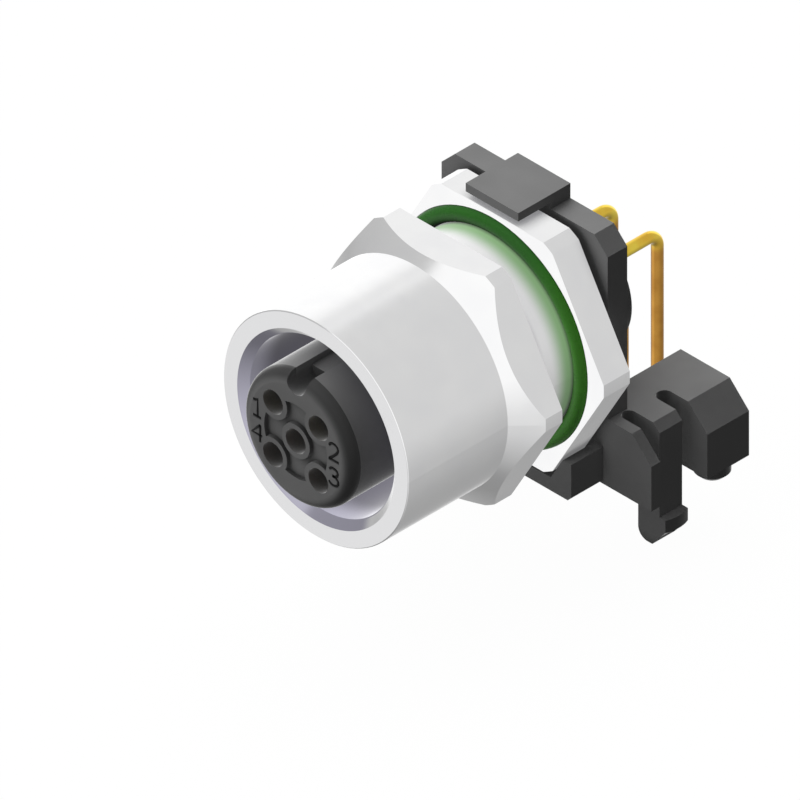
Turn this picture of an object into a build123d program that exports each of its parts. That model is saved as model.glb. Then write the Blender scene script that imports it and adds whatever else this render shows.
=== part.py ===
from build123d import *
import math
import os

# Right-angle circular socket with five contacts, for a panel and a circuit board.
# Millimetres. The origin is on the board's top face, midway between the two locating
# pegs. +Z points away from the board, +Y runs from the mating face to the solder tails,
# and +X is on the right as seen from the mating side.

# Placing of the connector's axis over the board
AXIS_HEIGHT = 9.6
PEG_BACK = 6.63

# Screw joint between the front sleeve and the threaded bushing
NECK_DIAMETER = 14.0
NECK_ENGAGEMENT = 3.3
THREAD_CLEARANCE = 0.05
THREAD_TRAVEL = 1.26
THREAD_RUNOUT = 0.44
HEX_FLATS = 17.0
HEX_CORNERS = 19.12

# Front sleeve, turned from hexagon bar
SLEEVE_WALL = 0.88
SLEEVE_BORE = 12.4
SLEEVE_LENGTH = 11.57
ENTRY_CHAMFER = 0.55
RIM_EDGE = 0.06
COLLAR_LENGTH = 3.05

# Threaded bushing with its hexagon flange
PANEL_GAP = 3.55
FLANGE_THICKNESS = 2.23
FLANGE_PLAY = 0.54
NECK_LEAD = 0.4

# Sealing rings
PANEL_RING_WIRE = 1.15
PANEL_RING_PROUD = 0.42
INSERT_RING_WIRE = 0.7
RING_CLEARANCE = 0.02

# Contact insert
INSERT_PROUD = 1.73
NOSE_DIAMETER = 9.5
NOSE_ROUND = 0.85
INSERT_COLLAR_DIAMETER = 10.9
INSERT_COLLAR_LENGTH = 2.0
INSERT_CLEARANCE = 0.1
BOSS_DIAMETER = 8.98
BOSS_LENGTH = 3.03
KEY_WIDTH = 1.6
KEY_FLOOR = 3.45
KEY_STEP = 2.2
KEY_GROOVE_FLOOR = 4.2
KEY_LENGTH = 9.0
RECESS_DIAMETER = 5.4
RECESS_DEPTH = 0.3
HOLE_RING_DIAMETER = 2.4

# Contacts: turned and slotted sockets with a round tail bent down to the board
CONTACT_CIRCLE = 5.5
SOCKET_DIAMETER = 1.56
SOCKET_CLEARANCE = 0.07
SOCKET_BORE = 1.04
SOCKET_SETBACK = 1.3
SOCKET_LENGTH = 7.0
SOCKET_BORE_DEPTH = 5.4
TINE_SLOT = 0.2
TINE_LENGTH = 4.2
TAIL_DIAMETER = 0.8
TAIL_CLEARANCE = 0.02
TAIL_BEND = 0.9
TAIL_REACH = 3.0
TAIL_POINT = 0.15
TAIL_LAST_ROW = 2.8
TAIL_ROW_PITCH = 1.5

# Board holder, moulded in one piece
PLATE_WIDTH = 14.24
PLATE_THICKNESS = 1.68
PLATE_RISE = 8.54
PLATE_CORNER = 1.15
BOSS_CLEARANCE = 0.02
TAB_WIDTH = 4.5
TAB_THICKNESS = 0.62
TAB_GAP = 0.52
TAB_OVERHANG = 2.8
CRADLE_WIDTH = 13.48
CRADLE_DEPTH = 2.75
CRADLE_HEIGHT = 2.76
CRADLE_EDGE = 0.3
SEAT_CLEARANCE = 0.12
WING_SPAN = 21.72
WING_HEIGHT = 4.95
WING_INNER_GAP = 10.0
WING_CORNER = 1.65
FRONT_SLICE = 0.78
FRONT_SLOT = 0.98
ARM_LENGTH = 1.94
REAR_SLOT = 1.1
WING_TAIL = 1.75
SLOT_ROOT = 7.2
ARM_SPAN = 19.6
ARM_CORNER = 0.55
ARM_BRIDGE = 1.6

# Snap pegs and locating pegs under the holder
SNAP_THICKNESS = 1.83
SNAP_LATCH = 1.85
SNAP_BARB = 0.5
SNAP_CROWN = 0.2
SNAP_BARB_HEIGHT = 0.91
SNAP_TIP = 1.36
SNAP_TIP_WIDTH = 1.21
SNAP_TIP_ROUND = 0.8
PEG_SPACING = 18.9
PEG_DIAMETER = 2.35
PEG_LENGTH = 1.1
PEG_EDGE = 0.3

# Bores and the ring's land, each worked out from what goes into it or round it
THREAD_BORE = NECK_DIAMETER + 2 * THREAD_CLEARANCE
BUSHING_BORE = INSERT_COLLAR_DIAMETER + 2 * INSERT_CLEARANCE
RING_LAND = BUSHING_BORE - 2 * INSERT_RING_WIRE - 4 * RING_CLEARANCE
SOCKET_HOLE = SOCKET_DIAMETER + 2 * SOCKET_CLEARANCE

# Stations along the connector, worked out from the plate forwards
PLATE_FRONT = -PEG_BACK
PLATE_BACK = PLATE_FRONT + PLATE_THICKNESS
FLANGE_BACK = PLATE_FRONT - FLANGE_PLAY
FLANGE_FRONT = FLANGE_BACK - FLANGE_THICKNESS
COLLAR_BACK = FLANGE_FRONT - PANEL_GAP
SLEEVE_FRONT = COLLAR_BACK - SLEEVE_LENGTH
INSERT_FRONT = SLEEVE_FRONT - INSERT_PROUD
INSERT_COLLAR_FRONT = PLATE_FRONT - INSERT_COLLAR_LENGTH
BOSS_BACK = PLATE_BACK + BOSS_LENGTH
THREAD_END = COLLAR_BACK - NECK_ENGAGEMENT - THREAD_TRAVEL - THREAD_RUNOUT

# Contact places across the mating face, numbered as the digits on it: x, height, tail row
SIDE = CONTACT_CIRCLE / 2 * math.sqrt(0.5)
CONTACT_PLACES = {
    "contact_1": (-SIDE, SIDE, 0),
    "contact_2": (SIDE, SIDE, 0),
    "contact_3": (SIDE, -SIDE, 2),
    "contact_4": (-SIDE, -SIDE, 2),
    "contact_5": (0.0, 0.0, 1),
}


def turned(*outline):
    """A piece turned about the connector's axis from (radius, station) points."""
    profile = Polygon(*outline, align=None)
    return Pos(0, 0, AXIS_HEIGHT) * revolve(profile, Axis.Y)


def lengthwise(outline, start, end, height=0.0):
    """A prism along the connector from an outline drawn as seen from the mating side."""
    return Pos(0, start, height) * extrude(Plane.XZ * outline, end - start, dir=(0, 1, 0))


def rod(diameter, start, end, x=0.0, height=0.0):
    """A round bar along the connector; x and height are taken from its axis."""
    return lengthwise(Pos(x, height) * Circle(diameter / 2), start, end, AXIS_HEIGHT)


def hexagon(across_flats):
    """A hexagon with a flat at the top and a corner at each side."""
    return RegularPolygon(across_flats / 2, 6, major_radius=False)


def ring(inner_radius, wire, station):
    """An O-ring about the connector's axis, centred on a station."""
    section = Pos(inner_radius + wire / 2, station) * Circle(wire / 2)
    return Pos(0, 0, AXIS_HEIGHT) * revolve(section, Axis.Y)


def make_front_sleeve():
    """Sleeve that takes the plug, with a hexagon collar cut back by a cone."""
    thread = THREAD_BORE / 2
    outer = thread + SLEEVE_WALL
    corner = HEX_CORNERS / 2
    bore = SLEEVE_BORE / 2
    cone_start = COLLAR_BACK - COLLAR_LENGTH
    cone_end = cone_start + corner - outer
    blank = turned(
        (0, SLEEVE_FRONT),
        (outer - RIM_EDGE, SLEEVE_FRONT),
        (outer, SLEEVE_FRONT + RIM_EDGE),
        (outer, cone_start),
        (corner, cone_end),
        (corner, COLLAR_BACK),
        (0, COLLAR_BACK),
    )
    collar = lengthwise(hexagon(HEX_FLATS), SLEEVE_FRONT, COLLAR_BACK, AXIS_HEIGHT)
    hollow = turned(
        (0, SLEEVE_FRONT),
        (bore + ENTRY_CHAMFER, SLEEVE_FRONT),
        (bore, SLEEVE_FRONT + ENTRY_CHAMFER),
        (bore, THREAD_END),
        (thread, THREAD_END),
        (thread, COLLAR_BACK),
        (0, COLLAR_BACK),
    )
    return (blank & collar) - hollow


def make_threaded_bushing():
    """Neck that the sleeve screws onto, with the hexagon flange that the holder keeps."""
    neck = NECK_DIAMETER / 2
    corner = HEX_CORNERS / 2
    neck_front = COLLAR_BACK - NECK_ENGAGEMENT
    blank = turned(
        (0, neck_front),
        (neck - NECK_LEAD, neck_front),
        (neck, neck_front + NECK_LEAD),
        (neck, FLANGE_FRONT),
        (corner, FLANGE_FRONT),
        (corner, FLANGE_BACK),
        (0, FLANGE_BACK),
    )
    flats = lengthwise(hexagon(HEX_FLATS), neck_front, FLANGE_BACK, AXIS_HEIGHT)
    bushing = (blank & flats) - rod(BUSHING_BORE, neck_front, FLANGE_BACK)
    groove_edge = neck + PANEL_RING_WIRE + 2 * RING_CLEARANCE
    groove_floor = FLANGE_FRONT + PANEL_RING_WIRE - PANEL_RING_PROUD + RING_CLEARANCE
    groove = turned(
        (neck, FLANGE_FRONT),
        (groove_edge, FLANGE_FRONT),
        (groove_edge, groove_floor),
        (neck, groove_floor),
    )
    return bushing - groove


def make_panel_ring():
    """O-ring round the neck's root, sunk in the groove of the flange's front face."""
    station = FLANGE_FRONT - PANEL_RING_PROUD + PANEL_RING_WIRE / 2
    return ring(NECK_DIAMETER / 2 + RING_CLEARANCE, PANEL_RING_WIRE, station)


def make_insert_ring():
    """O-ring between the insert's land and the bushing's bore, ahead of the collar."""
    station = INSERT_COLLAR_FRONT - RING_CLEARANCE - INSERT_RING_WIRE / 2
    return ring(RING_LAND / 2 + RING_CLEARANCE, INSERT_RING_WIRE, station)


def keyway():
    """Coding groove along the top of the nose: deep at the mouth, shallow behind."""
    top = NOSE_DIAMETER / 2 + 1
    round_radius = KEY_WIDTH / 2
    deep = Pos(0, (top + KEY_FLOOR + round_radius) / 2) * Rectangle(
        KEY_WIDTH, top - KEY_FLOOR - round_radius
    )
    deep += Pos(0, KEY_FLOOR + round_radius) * Circle(round_radius)
    shallow = Pos(0, (top + KEY_GROOVE_FLOOR) / 2) * Rectangle(
        KEY_WIDTH, top - KEY_GROOVE_FLOOR
    )
    mouth = lengthwise(deep, INSERT_FRONT, INSERT_FRONT + KEY_STEP, AXIS_HEIGHT)
    return mouth + lengthwise(shallow, INSERT_FRONT, INSERT_FRONT + KEY_LENGTH, AXIS_HEIGHT)


def make_contact_insert():
    """Moulded carrier for the contacts, from the mating face to the boss at the rear."""
    nose = NOSE_DIAMETER / 2
    land = RING_LAND / 2
    land_front = INSERT_COLLAR_FRONT - INSERT_RING_WIRE - 2 * RING_CLEARANCE
    collar = INSERT_COLLAR_DIAMETER / 2
    boss = BOSS_DIAMETER / 2
    body = turned(
        (0, INSERT_FRONT),
        (nose, INSERT_FRONT),
        (nose, land_front),
        (land, land_front),
        (land, INSERT_COLLAR_FRONT),
        (collar, INSERT_COLLAR_FRONT),
        (collar, PLATE_FRONT),
        (boss, PLATE_FRONT),
        (boss, BOSS_BACK),
        (0, BOSS_BACK),
    )
    nose_edge = body.edges().filter_by(GeomType.CIRCLE).sort_by(Axis.Y)[0]
    body = fillet(nose_edge, NOSE_ROUND) - keyway()
    recess = rod(RECESS_DIAMETER, INSERT_FRONT, INSERT_FRONT + RECESS_DEPTH)
    for x, height, row in CONTACT_PLACES.values():
        recess -= rod(HOLE_RING_DIAMETER, INSERT_FRONT, INSERT_FRONT + RECESS_DEPTH, x, height)
    body -= recess
    socket_end = INSERT_FRONT + SOCKET_SETBACK + SOCKET_LENGTH
    tail_hole = TAIL_DIAMETER + 2 * TAIL_CLEARANCE
    for x, height, row in CONTACT_PLACES.values():
        body -= rod(SOCKET_HOLE, INSERT_FRONT, socket_end, x, height)
        body -= rod(tail_hole, INSERT_FRONT, BOSS_BACK, x, height)
    return body


def make_contact(x, height, row):
    """One contact: slotted socket, shoulder, and a wire tail that turns down."""
    front = INSERT_FRONT + SOCKET_SETBACK
    back = front + SOCKET_LENGTH
    leg = TAIL_LAST_ROW - row * TAIL_ROW_PITCH
    socket = rod(SOCKET_DIAMETER, front, back, x, height)
    socket -= rod(SOCKET_BORE, front, front + SOCKET_BORE_DEPTH, x, height)
    for width, depth in ((SOCKET_DIAMETER, TINE_SLOT), (TINE_SLOT, SOCKET_DIAMETER)):
        slot = Pos(x, height) * Rectangle(width, depth)
        socket -= lengthwise(slot, front, front + TINE_LENGTH, AXIS_HEIGHT)
    level = AXIS_HEIGHT + height
    route = FilletPolyline((x, back, level), (x, leg, level), (x, leg, -TAIL_REACH), radius=TAIL_BEND)
    wire = sweep(Plane(route @ 0, z_dir=route % 0) * Circle(TAIL_DIAMETER / 2), route)
    tip = wire.edges().filter_by(GeomType.CIRCLE).sort_by(Axis.Z)[0]
    return socket + chamfer(tip, TAIL_POINT)


def wing_outline():
    """Right-hand wing seen from the mating side, without its slots."""
    inner = WING_INNER_GAP / 2
    outer = WING_SPAN / 2
    return Polygon(
        (inner, 0),
        (outer, 0),
        (outer, WING_HEIGHT - WING_CORNER),
        (outer - WING_CORNER, WING_HEIGHT),
        (inner, WING_HEIGHT),
        align=None,
    )


def wing_slot(start, width):
    """Cutter for one slot from the wing's side, with a round root."""
    reach = WING_SPAN / 2 + 1
    root = SLOT_ROOT + width / 2
    plan = Pos((root + reach) / 2, start + width / 2) * Rectangle(reach - root, width)
    plan += Pos(root, start + width / 2) * Circle(width / 2)
    return extrude(plan, WING_HEIGHT)


def make_snap_arm(arm_front):
    """Snap arm of the right-hand wing: bridge at the top, leg, and crowned barb."""
    outer = ARM_SPAN / 2
    inner = outer - SNAP_THICKNESS
    barb = outer + SNAP_BARB
    barb_top = -SNAP_LATCH
    barb_bottom = barb_top - SNAP_BARB_HEIGHT
    tip = barb_bottom - SNAP_TIP
    outline = Polygon(
        (inner, WING_HEIGHT),
        (outer - ARM_CORNER, WING_HEIGHT),
        (outer, WING_HEIGHT - ARM_CORNER),
        (outer, barb_top),
        (barb + SNAP_CROWN, barb_top),
        (barb + SNAP_CROWN, barb_bottom),
        (barb, barb_bottom),
        (inner + SNAP_TIP_WIDTH, tip),
        (inner, tip),
        align=None,
    )
    tip_corner = outline.vertices().sort_by_distance((inner, tip))[0]
    outline = fillet(tip_corner, SNAP_TIP_ROUND)
    wing_inner = WING_INNER_GAP / 2
    bridge = Pos(wing_inner, WING_HEIGHT - ARM_BRIDGE) * Rectangle(
        outer - ARM_CORNER - wing_inner, ARM_BRIDGE, align=Align.MIN
    )
    arm_back = arm_front + ARM_LENGTH
    crown = ThreePointArc(
        (barb, arm_front), (barb + SNAP_CROWN, (arm_front + arm_back) / 2), (barb, arm_back)
    )
    sides = Polyline((barb, arm_back), (wing_inner, arm_back), (wing_inner, arm_front), (barb, arm_front))
    plan = Pos(0, 0, tip) * extrude(make_face([crown, sides]), WING_HEIGHT - tip, dir=(0, 0, 1))
    return lengthwise(outline + bridge, arm_front, arm_back) & plan


def make_wing():
    """Right-hand wing with its slots, snap arm and locating peg."""
    arm_front = PLATE_FRONT + FRONT_SLICE + FRONT_SLOT
    rear_slot_front = arm_front + ARM_LENGTH
    wing = lengthwise(wing_outline(), PLATE_FRONT, WING_TAIL)
    arm_bay = Pos(SLOT_ROOT, arm_front) * Rectangle(WING_SPAN, ARM_LENGTH, align=Align.MIN)
    wing -= wing_slot(arm_front - FRONT_SLOT, FRONT_SLOT)
    wing -= wing_slot(rear_slot_front, REAR_SLOT)
    wing -= extrude(arm_bay, WING_HEIGHT)
    wing += make_snap_arm(arm_front)
    peg = Pos(PEG_SPACING / 2, 0, -PEG_LENGTH) * extrude(Circle(PEG_DIAMETER / 2), PEG_LENGTH)
    peg_end = peg.edges().filter_by(GeomType.CIRCLE).sort_by(Axis.Z)[0]
    return wing + chamfer(peg_end, PEG_EDGE)


def make_cradle():
    """Seat under the flange: a block with the flange's hexagon cut out of it."""
    half = CRADLE_WIDTH / 2
    outline = Polygon(
        (-half + CRADLE_EDGE, 0),
        (half - CRADLE_EDGE, 0),
        (half, CRADLE_EDGE),
        (half, CRADLE_HEIGHT),
        (-half, CRADLE_HEIGHT),
        (-half, CRADLE_EDGE),
        align=None,
    )
    front = PLATE_FRONT - CRADLE_DEPTH
    block = lengthwise(outline, front, PLATE_FRONT)
    seat = hexagon(HEX_FLATS + 2 * SEAT_CLEARANCE)
    return block - lengthwise(seat, front, PLATE_FRONT, AXIS_HEIGHT)


def make_board_holder():
    """Holder: upright plate, top tab, cradle, and a mirrored pair of wings."""
    half = PLATE_WIDTH / 2
    top = AXIS_HEIGHT + PLATE_RISE
    outline = Polygon(
        (-half, 0),
        (half, 0),
        (half, top - PLATE_CORNER),
        (half - PLATE_CORNER, top),
        (-half + PLATE_CORNER, top),
        (-half, top - PLATE_CORNER),
        align=None,
    )
    holder = lengthwise(outline, PLATE_FRONT, PLATE_BACK)
    tab_bottom = AXIS_HEIGHT + HEX_FLATS / 2 + TAB_GAP
    tab_top = tab_bottom + TAB_THICKNESS
    tab = Pos(0, (tab_bottom + tab_top) / 2) * Rectangle(TAB_WIDTH, TAB_THICKNESS)
    tab_root = Pos(0, (AXIS_HEIGHT + tab_top) / 2) * Rectangle(TAB_WIDTH, tab_top - AXIS_HEIGHT)
    holder += lengthwise(tab, PLATE_FRONT - TAB_OVERHANG, PLATE_BACK)
    holder += lengthwise(tab_root, PLATE_FRONT, PLATE_BACK)
    wing = make_wing()
    holder += wing
    holder += mirror(wing, Plane.YZ)
    holder += make_cradle()
    return holder - rod(BOSS_DIAMETER + 2 * BOSS_CLEARANCE, PLATE_FRONT, PLATE_BACK)


def main():
    parts = {
        "front_sleeve": make_front_sleeve(),
        "threaded_bushing": make_threaded_bushing(),
        "panel_ring": make_panel_ring(),
        "insert_ring": make_insert_ring(),
        "contact_insert": make_contact_insert(),
        "board_holder": make_board_holder(),
    }
    for name, place in CONTACT_PLACES.items():
        parts[name] = make_contact(*place)
    os.makedirs("parts", exist_ok=True)
    for name, part in parts.items():
        part.label = name
        export_step(part, f"parts/{name}.step")


main()
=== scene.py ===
import bpy
import math
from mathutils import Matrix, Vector


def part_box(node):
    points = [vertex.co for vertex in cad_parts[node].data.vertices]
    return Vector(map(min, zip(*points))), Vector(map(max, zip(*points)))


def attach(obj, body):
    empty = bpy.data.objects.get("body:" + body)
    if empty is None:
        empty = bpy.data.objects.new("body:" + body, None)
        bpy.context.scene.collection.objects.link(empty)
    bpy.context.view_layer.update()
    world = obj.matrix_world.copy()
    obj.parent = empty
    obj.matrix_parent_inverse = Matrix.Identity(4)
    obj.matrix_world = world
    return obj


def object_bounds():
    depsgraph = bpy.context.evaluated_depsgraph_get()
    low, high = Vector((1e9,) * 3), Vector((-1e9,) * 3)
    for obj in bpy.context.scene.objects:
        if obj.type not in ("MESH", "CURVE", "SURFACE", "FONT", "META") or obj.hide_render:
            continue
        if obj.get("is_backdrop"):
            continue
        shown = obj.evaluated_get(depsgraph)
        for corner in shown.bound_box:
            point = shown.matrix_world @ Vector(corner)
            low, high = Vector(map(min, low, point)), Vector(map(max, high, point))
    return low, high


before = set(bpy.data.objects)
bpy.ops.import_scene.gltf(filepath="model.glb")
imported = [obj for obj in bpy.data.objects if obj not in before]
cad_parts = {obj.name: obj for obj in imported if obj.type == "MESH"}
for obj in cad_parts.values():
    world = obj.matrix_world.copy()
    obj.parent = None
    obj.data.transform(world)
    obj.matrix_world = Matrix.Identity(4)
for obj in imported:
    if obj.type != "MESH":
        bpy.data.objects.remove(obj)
cad_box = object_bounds()

# The five contacts
# Each one is turned from brass rod, bored and slotted into a springy socket at the front,
# bent down towards the board at the back, and then barrel-plated with gold.

CONTACTS = ("contact_1", "contact_2", "contact_3", "contact_4", "contact_5")
GOLD_FLASH = "#f7dc55"
GOLD_THIN = "#eebf46"
# The two leg golds are painted shade, browner than the plating above.
GOLD_LEG_SHADE = "#d29c48"
GOLD_LEG_SHADE_THIN = "#bc863b"
LEG_TOP = (0.0102, 0.0111)
GOLD_ROUGHNESS = (0.14, 0.2)
PLATING_CLOUD = 0.0012
PLATING_SPOT = PLATING_CLOUD / 4
PATCH_DETAIL = 2.0
PATCH_SPREAD = (0.3, 0.7)
MM = 0.001


def linear(colour):
    """An sRGB hex colour as linear red, green, blue and alpha."""
    parts = [int(colour[i:i + 2], 16) / 255 for i in (1, 3, 5)]
    return [p / 12.92 if p <= 0.04045 else ((p + 0.055) / 1.055) ** 2.4 for p in parts] + [1.0]


def add(tree, kind, inputs=None, **settings):
    """A new node with its settings, and its inputs set to values or linked to sockets."""
    new = tree.nodes.new(kind)
    for name, value in settings.items():
        setattr(new, name, value)
    for name, value in (inputs or {}).items():
        if isinstance(value, bpy.types.NodeSocket):
            tree.links.new(value, new.inputs[name])
        else:
            new.inputs[name].default_value = value
    return new


def new_material(name):
    """An empty node material, its tree and its Object coordinates."""
    material = bpy.data.materials.new(name)
    material.use_nodes = True
    material.node_tree.nodes.clear()
    place = add(material.node_tree, "ShaderNodeTexCoord").outputs["Object"]
    return material, material.node_tree, place


def maths(tree, operation, first, second):
    """One sum on two values."""
    return add(tree, "ShaderNodeMath", {0: first, 1: second}, operation=operation).outputs[0]


def patches(tree, place, size, low, high):
    """Soft patches about that size in metres, as a value that runs from low to high."""
    noise = add(tree, "ShaderNodeTexNoise", {"Vector": place, "Scale": 1 / size, "Detail": PATCH_DETAIL})
    return add(tree, "ShaderNodeMapRange", {
        "Value": noise.outputs["Fac"],
        "From Min": PATCH_SPREAD[0],
        "From Max": PATCH_SPREAD[1],
        "To Min": low,
        "To Max": high,
    }).outputs["Result"]


def blend_colours(tree, share, first, second):
    """A colour that goes from the first to the second as the share goes from 0 to 1."""
    mixed = add(tree, "ShaderNodeMix", {"Factor": share}, data_type="RGBA")
    for index, colour in ((6, first), (7, second)):
        if isinstance(colour, bpy.types.NodeSocket):
            tree.links.new(colour, mixed.inputs[index])
        else:
            mixed.inputs[index].default_value = linear(colour)
    return mixed.outputs[2]


def step(tree, value, start, end):
    """0 before the start, 1 after the end, and a smooth rise between them."""
    rise = {"Value": value, "From Min": start, "From Max": end}
    return add(tree, "ShaderNodeMapRange", rise, interpolation_type="SMOOTHSTEP").outputs["Result"]


def surface(tree, inputs):
    """Ends a material in one Principled shader."""
    shader = add(tree, "ShaderNodeBsdfPrincipled", inputs)
    add(tree, "ShaderNodeOutputMaterial", {"Surface": shader.outputs["BSDF"]})


def dress(names, material):
    """Gives the CAD nodes of those names the material."""
    for name in names:
        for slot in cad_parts[name].material_slots:
            slot.material = material


# Gold plating over brass is a bright warm metal, a little cloudy where the bath left it thin.
# The legs are painted a shade browner, as painted shade and reflection.
gold, tree, place = new_material("gold_plated_brass")
cloud = patches(tree, place, PLATING_CLOUD, 0.0, 1.0)
height = add(tree, "ShaderNodeSeparateXYZ", {0: place}).outputs["Z"]
flash = blend_colours(tree, cloud, GOLD_FLASH, GOLD_THIN)
# The painted shade of the legs, with the same cloud as the plating.
leg_shade = blend_colours(tree, cloud, GOLD_LEG_SHADE, GOLD_LEG_SHADE_THIN)
surface(tree, {
    "Base Color": blend_colours(tree, step(tree, height, *LEG_TOP), leg_shade, flash),
    "Metallic": 1.0,
    "Roughness": patches(tree, place, PLATING_SPOT, *GOLD_ROUGHNESS),
})
dress(CONTACTS, gold)

# The contact insert
# It is moulded in black glass-filled polyamide, and the contacts are pressed into it from
# behind. The mould's own polish leaves it satin, with a grain that only shows close up. The
# rounded edge of its nose and the insides of its holes are painted darker, as painted shade.

PLASTIC = "#6c6c6c"
PLASTIC_CLOUDED = "#656565"
PLASTIC_SPECULAR = 0.2
PLASTIC_ROUGHNESS = (0.11, 0.16)
MOULD_CLOUD = 0.003
MOULD_SPOT = MOULD_CLOUD / 4
MOULD_GRAIN = 0.00012
GRAIN_DEPTH = 0.0000008
AXIS = Vector((0.0, 0.0, 0.0096))
SQUARE_TO_AXIS = (1.0, 0.0, 1.0)
INSERT_FACE = -0.02625
FACE_RADIUS = 0.0039
NOSE_RADIUS = 0.00475
NOSE_ROUND = 0.00085
# The dark grey on the nose's rounded edge is painted shade.
NOSE_EDGE_SHADE = "#3a3a3a"
EDGE_BLEND = 0.00003
EDGE_FADE = 0.0006
CORNER_SAMPLES = 8
# The near-black in the holes and slots is painted shade in recesses.
HOLE_SHADE = "#060606"
HOLE_REACH = 0.0015
HOLE_OPEN = (0.4, 1.0)
HOLE_DULL = 0.5


def vectors(tree, operation, *inputs):
    """One sum on vectors, as its node."""
    return add(tree, "ShaderNodeVectorMath", dict(enumerate(inputs)), operation=operation)


def off_axis(tree, place):
    """The step from the connector's axis to a point, in metres, square to the axis."""
    beside = vectors(tree, "SUBTRACT", place, AXIS).outputs[0]
    return vectors(tree, "MULTIPLY", beside, SQUARE_TO_AXIS).outputs[0]


def from_axis(tree, place):
    """How far a point is from the connector's axis, in metres."""
    return vectors(tree, "LENGTH", off_axis(tree, place)).outputs["Value"]


def on_side(tree, place, side, ends):
    """A share that rises from 0 to 1 round the axis, towards the side that a direction gives."""
    outward = vectors(tree, "NORMALIZE", off_axis(tree, place)).outputs[0]
    facing = vectors(tree, "DOT_PRODUCT", outward, side).outputs["Value"]
    return step(tree, facing, *ends)


def along_axis(tree, place):
    """How far back a point lies, in metres."""
    return add(tree, "ShaderNodeSeparateXYZ", {0: place}).outputs["Y"]


def corners(tree, reach):
    """How open a point is, from 0 deep in a corner or a hole to 1 where nothing is near it."""
    found = add(tree, "ShaderNodeAmbientOcclusion", {"Distance": reach}, samples=CORNER_SAMPLES)
    return found.outputs["AO"]


def duller(tree, gloss, share, amount):
    """A roughness that grows by the amount where the share is 0, and by nothing where it is 1."""
    more = add(tree, "ShaderNodeMapRange", {"Value": share, "To Min": amount, "To Max": 0.0})
    return maths(tree, "ADD", gloss, more.outputs["Result"])


def moulded(name, finish):
    """Black polyamide with its mould's grain. The finish gives how open each point is, and the
    colour that it makes from the plain one. Closed-in points get a painted near-black shade and more
    roughness."""
    material, tree, place = new_material(name)
    cloud = patches(tree, place, MOULD_CLOUD, 0.0, 1.0)
    grain = add(tree, "ShaderNodeTexNoise", {"Vector": place, "Scale": 1 / MOULD_GRAIN, "Detail": 1.0})
    relief = add(tree, "ShaderNodeBump", {
        "Height": grain.outputs["Fac"],
        "Strength": 1.0,
        "Distance": GRAIN_DEPTH,
    })
    lit, colour = finish(tree, place, blend_colours(tree, cloud, PLASTIC, PLASTIC_CLOUDED))
    gloss = patches(tree, place, MOULD_SPOT, *PLASTIC_ROUGHNESS)
    surface(tree, {
        "Base Color": blend_colours(tree, lit, HOLE_SHADE, colour),
        "Specular IOR Level": PLASTIC_SPECULAR,
        "Roughness": duller(tree, gloss, lit, HOLE_DULL),
        "Normal": relief.outputs["Normal"],
    })
    return material


def insert_finish(tree, place, colour):
    """Painted shade: the nose's rounded edge is painted darker than its face, and its holes are painted
    dark, and made dull.
    """
    radius = from_axis(tree, place)
    side = step(tree, radius, NOSE_RADIUS - 2 * EDGE_BLEND, NOSE_RADIUS - EDGE_BLEND)
    lit = maths(tree, "MAXIMUM", step(tree, corners(tree, HOLE_REACH), *HOLE_OPEN), side)
    outside = step(tree, radius, FACE_RADIUS, FACE_RADIUS + EDGE_FADE)
    edge_end = INSERT_FACE + NOSE_ROUND
    behind = step(tree, along_axis(tree, place), edge_end - EDGE_BLEND, edge_end)
    # The band of painted shade on the nose's rounded edge.
    edge = maths(tree, "MULTIPLY", outside, maths(tree, "SUBTRACT", 1.0, behind))
    return lit, blend_colours(tree, edge, colour, NOSE_EDGE_SHADE)


dress(["contact_insert"], moulded("insert_polyamide", insert_finish))

# The contact numbers
# The mould writes 1 to 4 beside the outer contacts, in thin strokes on the insert's face.
# They are drawn here as a smooth black line that stands just proud of it.

STROKE_WIDTH = 0.17
STROKE_HEIGHT = 0.04
NUMBER_BLACK = "#060606"
NUMBER_SPECULAR = 0.1
NUMBER_ROUGHNESS = (0.4, 0.5)
CURVE_STEPS = 6
NUMBER_LINES = (
    ("1", "POLY", ((-3.63, 1.36), (-3.42, 1.40), (-3.26, 1.49), (-3.26, 0.21))),
    ("1", "POLY", ((-3.63, 0.21), (-2.97, 0.21))),
    ("2", "BEZIER", (
        (2.87, 1.17), (2.98, 1.34), (3.25, 1.42), (3.53, 1.31),
        (3.61, 1.06), (3.42, 0.72), (2.88, 0.22),
    )),
    ("2", "POLY", ((2.83, 0.20), (3.69, 0.20))),
    ("3", "BEZIER", (
        (2.89, -0.58), (3.03, -0.44), (3.28, -0.40), (3.53, -0.50),
        (3.59, -0.72), (3.44, -0.92), (3.15, -0.98),
    )),
    ("3", "BEZIER", (
        (3.15, -0.98), (3.47, -1.05), (3.64, -1.28), (3.55, -1.54),
        (3.26, -1.65), (3.00, -1.61), (2.85, -1.45),
    )),
    ("4", "POLY", ((-3.05, -0.32), (-3.05, -1.57))),
    ("4", "POLY", ((-3.05, -0.32), (-3.74, -1.08), (-2.88, -1.08))),
)

number_black, tree, place = new_material("number_black")
surface(tree, {
    "Base Color": linear(NUMBER_BLACK),
    "Specular IOR Level": NUMBER_SPECULAR,
    "Roughness": patches(tree, place, MOULD_GRAIN, *NUMBER_ROUGHNESS),
})


def new_tree(name, sockets):
    """An empty Geometry Nodes tree with its inputs, and the node that gives them."""
    tree = bpy.data.node_groups.new(name, "GeometryNodeTree")
    tree.interface.new_socket("Geometry", in_out="INPUT", socket_type="NodeSocketGeometry")
    for label, kind in sockets:
        tree.interface.new_socket(label, in_out="INPUT", socket_type=kind)
    tree.interface.new_socket("Geometry", in_out="OUTPUT", socket_type="NodeSocketGeometry")
    return tree, add(tree, "NodeGroupInput").outputs


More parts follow.
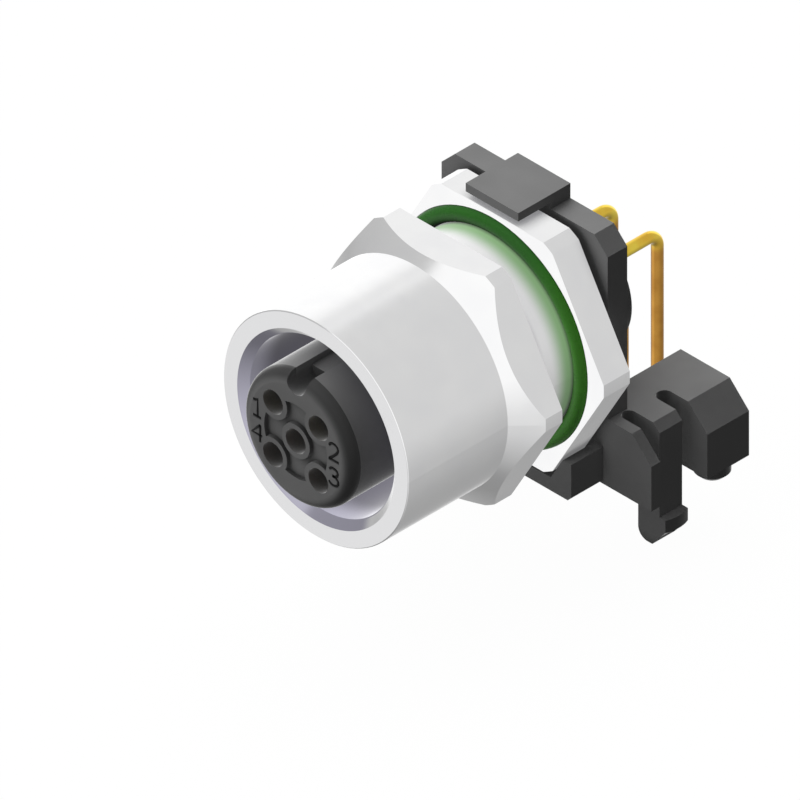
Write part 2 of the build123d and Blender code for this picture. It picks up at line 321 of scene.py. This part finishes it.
def grow(obj, tree, values):
    """Runs a Geometry Nodes tree on an object, and keeps its result as a plain mesh."""
    modifier = obj.modifiers.new(tree.name, "NODES")
    modifier.node_group = tree
    for socket in tree.interface.items_tree:
        if socket.in_out == "INPUT" and socket.name in values:
            modifier[socket.identifier] = values[socket.name]
    made = obj.evaluated_get(bpy.context.evaluated_depsgraph_get())
    mesh = bpy.data.meshes.new_from_object(made)
    obj.modifiers.remove(modifier)
    piece = bpy.data.objects.new(obj.name + "_piece", mesh)
    bpy.context.scene.collection.objects.link(piece)
    bpy.data.objects.remove(obj)
    return piece


stroke, given = new_tree("stroke", [
    ("Width", "NodeSocketFloat"),
    ("Height", "NodeSocketFloat"),
    ("Place", "NodeSocketVector"),
    ("Turn", "NodeSocketVector"),
    ("Material", "NodeSocketMaterial"),
])
upright = add(stroke, "GeometryNodeSetCurveNormal", {"Curve": given["Geometry"]}, mode="Z_UP")
section = add(stroke, "GeometryNodeCurvePrimitiveQuadrilateral", {
    "Width": given["Width"],
    "Height": given["Height"],
})
line = add(stroke, "GeometryNodeCurveToMesh", {
    "Curve": upright.outputs[0],
    "Profile Curve": section.outputs[0],
    "Fill Caps": True,
})
placed = add(stroke, "GeometryNodeTransform", {
    "Geometry": line.outputs[0],
    "Translation": given["Place"],
    "Rotation": given["Turn"],
})
real = add(stroke, "GeometryNodeRealizeInstances", {"Geometry": placed.outputs[0]})
black = add(stroke, "GeometryNodeSetMaterial", {
    "Geometry": real.outputs[0],
    "Material": given["Material"],
})
add(stroke, "NodeGroupOutput", {"Geometry": black.outputs[0]})

for number in "1234":
    curve = bpy.data.curves.new("number_" + number, "CURVE")
    curve.dimensions = "3D"
    curve.resolution_u = CURVE_STEPS
    for owner, kind, points in NUMBER_LINES:
        if owner != number:
            continue
        spline = curve.splines.new(kind)
        holders = spline.points if kind == "POLY" else spline.bezier_points
        holders.add(len(points) - 1)
        for holder, (x, z) in zip(holders, points):
            spot = (x * MM, z * MM, 0.0)
            if kind == "POLY":
                holder.co = (*spot, 1.0)
            else:
                holder.co = spot
                holder.handle_left_type = "AUTO"
                holder.handle_right_type = "AUTO"
    drawn = bpy.data.objects.new("number_" + number, curve)
    bpy.context.scene.collection.objects.link(drawn)
    piece = grow(drawn, stroke, {
        "Width": STROKE_WIDTH * MM,
        "Height": STROKE_HEIGHT * MM,
        "Place": (0.0, INSERT_FACE, AXIS.z),
        "Turn": (math.radians(90), 0.0, 0.0),
        "Material": number_black,
    })
    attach(piece, "root")

# The insert's ring
# A small moulded O-ring of black nitrile rubber, pushed over the insert's land, where it
# seals the insert to the bushing's bore. It hardly shows.

RUBBER_BLACK = "#1c1c1c"
RUBBER_ROUGHNESS = (0.45, 0.6)
RUBBER_BLOOM = 0.0006

nitrile, tree, place = new_material("black_rubber")
surface(tree, {
    "Base Color": linear(RUBBER_BLACK),
    "Roughness": patches(tree, place, RUBBER_BLOOM, *RUBBER_ROUGHNESS),
})
dress(["insert_ring"], nitrile)

# The board holder
# One moulding of the same black polyamide: plate, tab, cradle, wings, snap arms and pegs.
# The slots beside the snap arms are painted dark inside, as painted shade.

# How far the painted shade in the slots reaches, and where it fades out.
SLOT_REACH = 0.0015
SLOT_OPEN = (0.3, 0.85)


def holder_finish(tree, place, colour):
    """The plain colour, with painted shade in the slots, which are also made dull."""
    return step(tree, corners(tree, SLOT_REACH), *SLOT_OPEN), colour


dress(["board_holder"], moulded("holder_polyamide", holder_finish))

# The threaded bushing
# Turned from brass hexagon bar and nickel-plated bright. In the photograph its neck mirrors
# the green ring and the sleeve, and its flange the black holder. No piece mirrors another
# one here, so those tones are painted on by place.

NICKEL = "#fcfcfc"
NICKEL_CLOUDED = "#f8f8f9"
NICKEL_ROUGHNESS = (0.2, 0.25)
NICKEL_CLOUD = 0.0025
NICKEL_SPOT = 0.0006
# The grey at the flange's sides, next to the holder, is painted shade and painted reflection of the black
# plastic.
NICKEL_CORNER_SHADE = "#8c8c8f"
NECK_RADIUS = 0.007
NECK_ROUGHER = 0.15
# The pale green on the neck beside the ring is a painted reflection of the ring.
NECK_RING_REFLECTION = "#97c08c"
# The neck under the green ring is painted nearly black, as painted shade in the crease.
NECK_CREASE_SHADE = "#0b130a"
GREEN_REACH = 0.0014
NECK_SHADE = "#9a95a2"
SHADE_ENDS = (-0.0125, -0.0115)
NECK_BLEND = 0.00005
FLANGE_FRONT = -0.0094
CORNER_REACH = 0.0012
CORNER_OPEN = (0.3, 1.0)

nickel, tree, place = new_material("nickel_plated_brass")
cloud = patches(tree, place, NICKEL_CLOUD, 0.0, 1.0)
bright = blend_colours(tree, cloud, NICKEL, NICKEL_CLOUDED)
# Painted shade and reflection of the holder, darkest deep in the corners.
flange = blend_colours(tree, step(tree, corners(tree, CORNER_REACH), *CORNER_OPEN), NICKEL_CORNER_SHADE, bright)
depth = along_axis(tree, place)
sides = step(tree, depth, FLANGE_FRONT + NECK_BLEND, FLANGE_FRONT + 2 * NECK_BLEND)
beyond = step(tree, from_axis(tree, place), NECK_RADIUS + NECK_BLEND, NECK_RADIUS + 2 * NECK_BLEND)
ring_front, ring_back = (corner.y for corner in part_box("panel_ring"))
near_ring = step(tree, depth, ring_front - GREEN_REACH, ring_front)
under_ring = step(tree, depth, ring_front, (ring_front + ring_back) / 2)
neck = blend_colours(tree, step(tree, depth, *SHADE_ENDS), NECK_SHADE, bright)
neck = blend_colours(tree, near_ring, neck, NECK_RING_REFLECTION)
# The painted shade of the crease under the ring.
neck = blend_colours(tree, under_ring, neck, NECK_CREASE_SHADE)
front = blend_colours(tree, beyond, neck, bright)
gloss = patches(tree, place, NICKEL_SPOT, *NICKEL_ROUGHNESS)
surface(tree, {
    "Base Color": blend_colours(tree, sides, front, flange),
    "Metallic": 1.0,
    "Roughness": duller(tree, gloss, beyond, NECK_ROUGHER),
})
dress(["threaded_bushing"], nickel)

# The panel's ring
# A moulded O-ring of green fluorocarbon rubber, smooth, with a waxy sheen. Its lower right is
# painted a lighter, more vivid green as painted light, and its crease nearly black as painted shade.

RING_GREEN = "#27601d"
# The lighter green is painted light on the ring's lower right.
RING_LIT_GREEN = "#4a9a2a"
RING_LIT_SIDE = (0.8, 0.0, -0.6)
RING_LIT_BLEND = (-0.3, 0.7)
# The near-black is painted shade in the ring's crease.
RING_CREASE_SHADE = "#071006"
CREASE_REACH = 0.0008
CREASE_OPEN = (0.1, 1.0)
CREASE_DULL = 0.7
RING_SPECULAR = 0.15
RING_ROUGHNESS = (0.25, 0.35)

fluorocarbon, tree, place = new_material("green_rubber")
# The ring's green grows lighter towards one side, as painted light.
green = blend_colours(tree, on_side(tree, place, RING_LIT_SIDE, RING_LIT_BLEND), RING_GREEN, RING_LIT_GREEN)
# Where the painted shade of the crease falls.
lit = step(tree, corners(tree, CREASE_REACH), *CREASE_OPEN)
gloss = patches(tree, place, RUBBER_BLOOM, *RING_ROUGHNESS)
surface(tree, {
    "Base Color": blend_colours(tree, lit, RING_CREASE_SHADE, green),
    "Specular IOR Level": RING_SPECULAR,
    "Roughness": duller(tree, gloss, lit, CREASE_DULL),
})
dress(["panel_ring"], fluorocarbon)

# The front sleeve
# Turned from the same hexagon bar, bored for the plug and plated with the bushing. Its rim,
# its bore and the chamfer at its mouth are painted in the greys that they mirror in the
# photograph, and these turn with it.

NICKEL_CHAMFER = "#b5b3c2"
NICKEL_BORE = "#b5b3c3"
NICKEL_DEEP = "#73717c"
BRIGHT_SIDE = (0.8, 0.0, 0.6)
BRIGHT_BLEND = (-0.05, 0.15)
BORE_ENDS = (-0.02397, -0.0216)
RIM_GREY = "#e0e0e1"
RIM_ENDS = (-0.0245, -0.02449)
SLEEVE_ROUGHNESS = (0.15, 0.2)
BORE_RADIUS = 0.0062
BORE_EDGE = 0.006745
BORE_BLEND = 0.000005
ENTRY_BLEND = 0.1 * MM

plated, tree, place = new_material("sleeve_nickel_plated_brass")
cloud = patches(tree, place, NICKEL_CLOUD, 0.0, 1.0)
radius = from_axis(tree, place)
bright = blend_colours(tree, cloud, NICKEL, NICKEL_CLOUDED)
depth = along_axis(tree, place)
deep = blend_colours(tree, step(tree, depth, *BORE_ENDS), NICKEL_BORE, NICKEL_DEEP)
chamfer = blend_colours(tree, on_side(tree, place, BRIGHT_SIDE, BRIGHT_BLEND), NICKEL_CHAMFER, bright)
entry = blend_colours(tree, step(tree, radius, BORE_RADIUS, BORE_RADIUS + ENTRY_BLEND), deep, chamfer)
turned = blend_colours(tree, step(tree, depth, *RIM_ENDS), RIM_GREY, bright)
outside = step(tree, radius, BORE_EDGE - BORE_BLEND, BORE_EDGE + BORE_BLEND)
surface(tree, {
    "Base Color": blend_colours(tree, outside, entry, turned),
    "Metallic": 1.0,
    "Roughness": patches(tree, place, NICKEL_SPOT, *SLEEVE_ROUGHNESS),
})
dress(["front_sleeve"], plated)

# The studio
# A pale floor just under the snap arms' tips, a white backdrop, and a softly graded room
# for the metal to mirror. It darkens towards the ground. As the camera sees it, a grey wall
# is on the right, a grey screen on the left, a window behind and a white card at the lower
# left. The pieces mirror only this room, and not one another.

FLOOR_DROP = 0.01 * MM
FLOOR_SIZE = 2.0
FLOOR_TONE = "#e9e9e9"
FLOOR_SHADOW = 0.02
WHITE = (1.0, 1.0, 1.0, 1.0)
GROUND_ENDS = (-79.4, -5.0)
GROUND_LEVEL = 0.337
# Each patch's name, azimuth and elevation, the cosines between which it fades in, and how much
# it darkens or adds.
ROOM_PATCHES = (
    ("wall", 85.4, -3.5, -0.75, 0.763, -0.349),
    ("screen", 183.4, 17.3, 0.55, 0.68, -0.433),
    ("window", 127.3, 0.4, 0.61, 0.9, 0.654),
    ("card", 225.0, -35.0, 0.82, 0.97, 0.27),
)
FILL_LEVEL = 0.03
KEY_FROM = Vector((-0.5, -0.4, 0.77))
KEY_STRENGTH = 2.36
BACK_FROM = Vector((-0.4, 0.5, 0.77))
BACK_STRENGTH = 2.98
FRONT_FROM = Vector((-0.2, -0.95, 0.1))
FRONT_STRENGTH = 0.5
LAMP_SPREAD = 60.0

floor_level = cad_box[0].z - FLOOR_DROP
mesh = bpy.data.meshes.new("floor")
half = FLOOR_SIZE / 2
floor_plan = [(-half, -half), (half, -half), (half, half), (-half, half)]
mesh.from_pydata([(x, y, floor_level) for x, y in floor_plan], [], [(0, 1, 2, 3)])
floor = bpy.data.objects.new("floor", mesh)
bpy.context.scene.collection.objects.link(floor)
floor.visible_glossy = False
floor.visible_diffuse = False
paint, tree, place = new_material("floor_paint")
matt = add(tree, "ShaderNodeBsdfDiffuse", {"Color": linear(FLOOR_TONE)})
white = add(tree, "ShaderNodeEmission", {"Strength": 1.0})
rays = add(tree, "ShaderNodeLightPath")
both = add(tree, "ShaderNodeMixShader", {
    0: maths(tree, "MULTIPLY", rays.outputs["Is Camera Ray"], 1 - FLOOR_SHADOW),
    1: matt.outputs["BSDF"],
    2: white.outputs["Emission"],
})
add(tree, "ShaderNodeOutputMaterial", {"Surface": both.outputs["Shader"]})
mesh.materials.append(paint)
floor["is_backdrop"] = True

world = bpy.data.worlds.new("studio")
bpy.context.scene.world = world
world.use_nodes = True
tree = world.node_tree
tree.nodes.clear()
ray = add(tree, "ShaderNodeTexCoord").outputs["Generated"]
height = add(tree, "ShaderNodeSeparateXYZ", {0: ray}).outputs["Z"]
climb = add(tree, "ShaderNodeMath", {0: height}, operation="ARCSINE").outputs[0]
room = add(tree, "ShaderNodeMapRange", {
    "Value": climb,
    "From Min": math.radians(GROUND_ENDS[0]),
    "From Max": math.radians(GROUND_ENDS[1]),
    "To Min": GROUND_LEVEL,
    "To Max": 1.0,
}).outputs["Result"]
for _, azimuth, elevation, start, end, amount in ROOM_PATCHES:
    turn = math.radians(azimuth)
    rise = math.radians(elevation)
    middle = (math.cos(rise) * math.cos(turn), math.cos(rise) * math.sin(turn), math.sin(rise))
    facing = vectors(tree, "DOT_PRODUCT", ray, middle).outputs["Value"]
    inside = step(tree, facing, start, end)
    if amount < 0:
        level = add(tree, "ShaderNodeMapRange", {"Value": inside, "To Min": 1.0, "To Max": 1 + amount})
        room = maths(tree, "MULTIPLY", room, level.outputs["Result"])
    else:
        room = maths(tree, "ADD", room, maths(tree, "MULTIPLY", inside, amount))
mirrored = add(tree, "ShaderNodeBackground", {"Color": room, "Strength": 1.0})
backdrop = add(tree, "ShaderNodeBackground", {"Color": WHITE, "Strength": 1.0})
fill = add(tree, "ShaderNodeBackground", {"Color": WHITE, "Strength": FILL_LEVEL})
rays = add(tree, "ShaderNodeLightPath")
seen = add(tree, "ShaderNodeMixShader", {
    0: maths(tree, "MAXIMUM", rays.outputs["Is Glossy Ray"], rays.outputs["Is Transmission Ray"]),
    1: fill.outputs["Background"],
    2: mirrored.outputs["Background"],
})
final = add(tree, "ShaderNodeMixShader", {
    0: rays.outputs["Is Camera Ray"],
    1: seen.outputs["Shader"],
    2: backdrop.outputs["Background"],
})
add(tree, "ShaderNodeOutputWorld", {"Surface": final.outputs["Shader"]})


def lamp(name, direction, strength):
    """A wide, far lamp that shines from a direction and isn't mirrored itself."""
    light = bpy.data.lights.new(name, "SUN")
    light.energy = strength
    light.angle = math.radians(LAMP_SPREAD)
    holder = bpy.data.objects.new(name, light)
    holder.rotation_mode = "QUATERNION"
    holder.rotation_quaternion = direction.to_track_quat("Z", "Y")
    holder.visible_glossy = False
    bpy.context.scene.collection.objects.link(holder)


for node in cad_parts.values():
    node.visible_glossy = False

lamp("key", KEY_FROM, KEY_STRENGTH)
lamp("back", BACK_FROM, BACK_STRENGTH)
lamp("front", FRONT_FROM, FRONT_STRENGTH)

# The camera
# The photograph is an exact isometric view, so the lens is a parallel one.

PIXELS_PER_MM = 16.5
PHOTO_SIDE = 800
LOOK_AT = Vector((0.0, -17.31, 8.196)) * MM
LOOK_FROM = Vector((1.0, -1.0, 1.0)).normalized()
CAMERA_DISTANCE = 0.2
CLIP_ENDS = (0.01, 5.0)

lens = bpy.data.cameras.new("camera")
lens.type = "ORTHO"
lens.ortho_scale = PHOTO_SIDE / PIXELS_PER_MM * MM
lens.clip_start, lens.clip_end = CLIP_ENDS
camera = bpy.data.objects.new("camera", lens)
camera.location = LOOK_AT + LOOK_FROM * CAMERA_DISTANCE
camera.rotation_mode = "QUATERNION"
camera.rotation_quaternion = LOOK_FROM.to_track_quat("Z", "Y")
bpy.context.scene.collection.objects.link(camera)
bpy.context.scene.camera = camera
bpy.context.scene.view_settings.view_transform = "Standard"

sides = {"cad": cad_box, "visual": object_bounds()}
